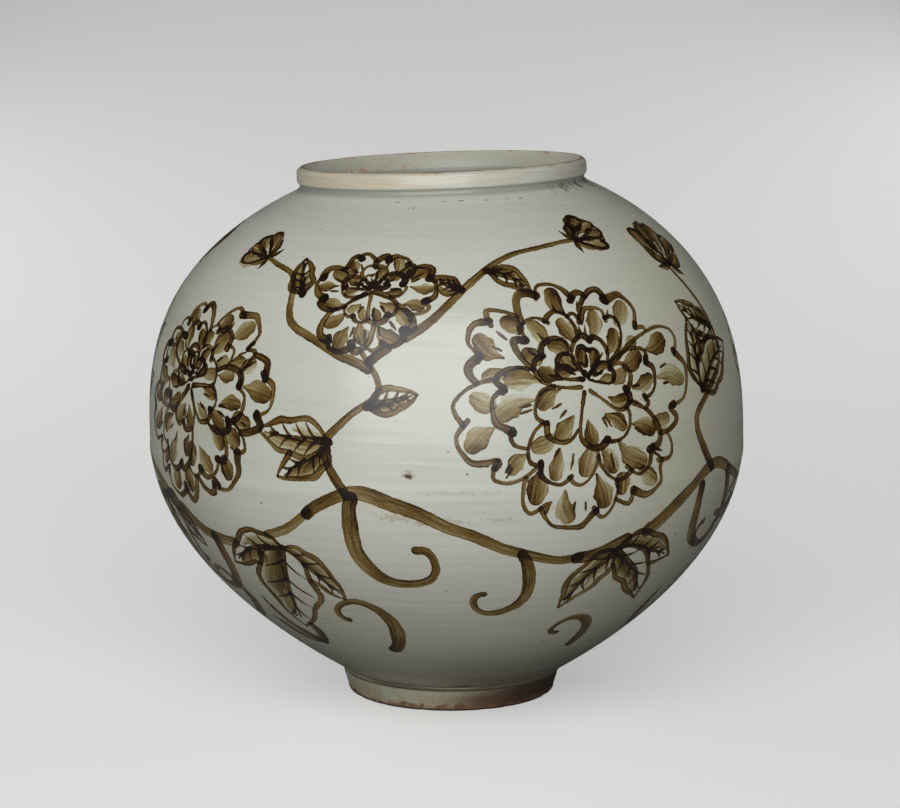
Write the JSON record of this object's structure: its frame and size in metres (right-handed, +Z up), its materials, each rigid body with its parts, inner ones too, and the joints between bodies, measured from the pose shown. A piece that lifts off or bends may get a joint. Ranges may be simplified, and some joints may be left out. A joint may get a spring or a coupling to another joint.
{
  "type": "globular storage jar",
  "caption": "Large round-bellied glazed porcelain storage jar with a low turned foot, a short banded mouth and iron-brown brushwork on a pale glaze.",
  "frame": {"origin": "on the floor, directly under the centre of the belly's widest circle", "axes": "+Z up through the mouth, +X to the right and -Y to the front as pictured, so the mouth tips down towards -X"},
  "size_m": [0.3502, 0.35, 0.3162],
  "materials": {
    "glazed_body": "glossy pale greenish-white glaze over porcelain, painted under the glaze in iron brown",
    "foot_clay": "thin glaze wiped back to bare clay, burnt orange-brown at the floor",
    "luting_slip": "smoothed clay slip under the glaze"
  },
  "bodies": {
    "root": {"foot_ring": "foot_clay", "foot_slip_ring": "luting_slip", "lower_bowl": "glazed_body", "belly_slip_ring": "luting_slip", "upper_bowl": "glazed_body", "collar_slip_ring": "luting_slip", "mouth_collar": "glazed_body"}
  },
  "joints": []
}
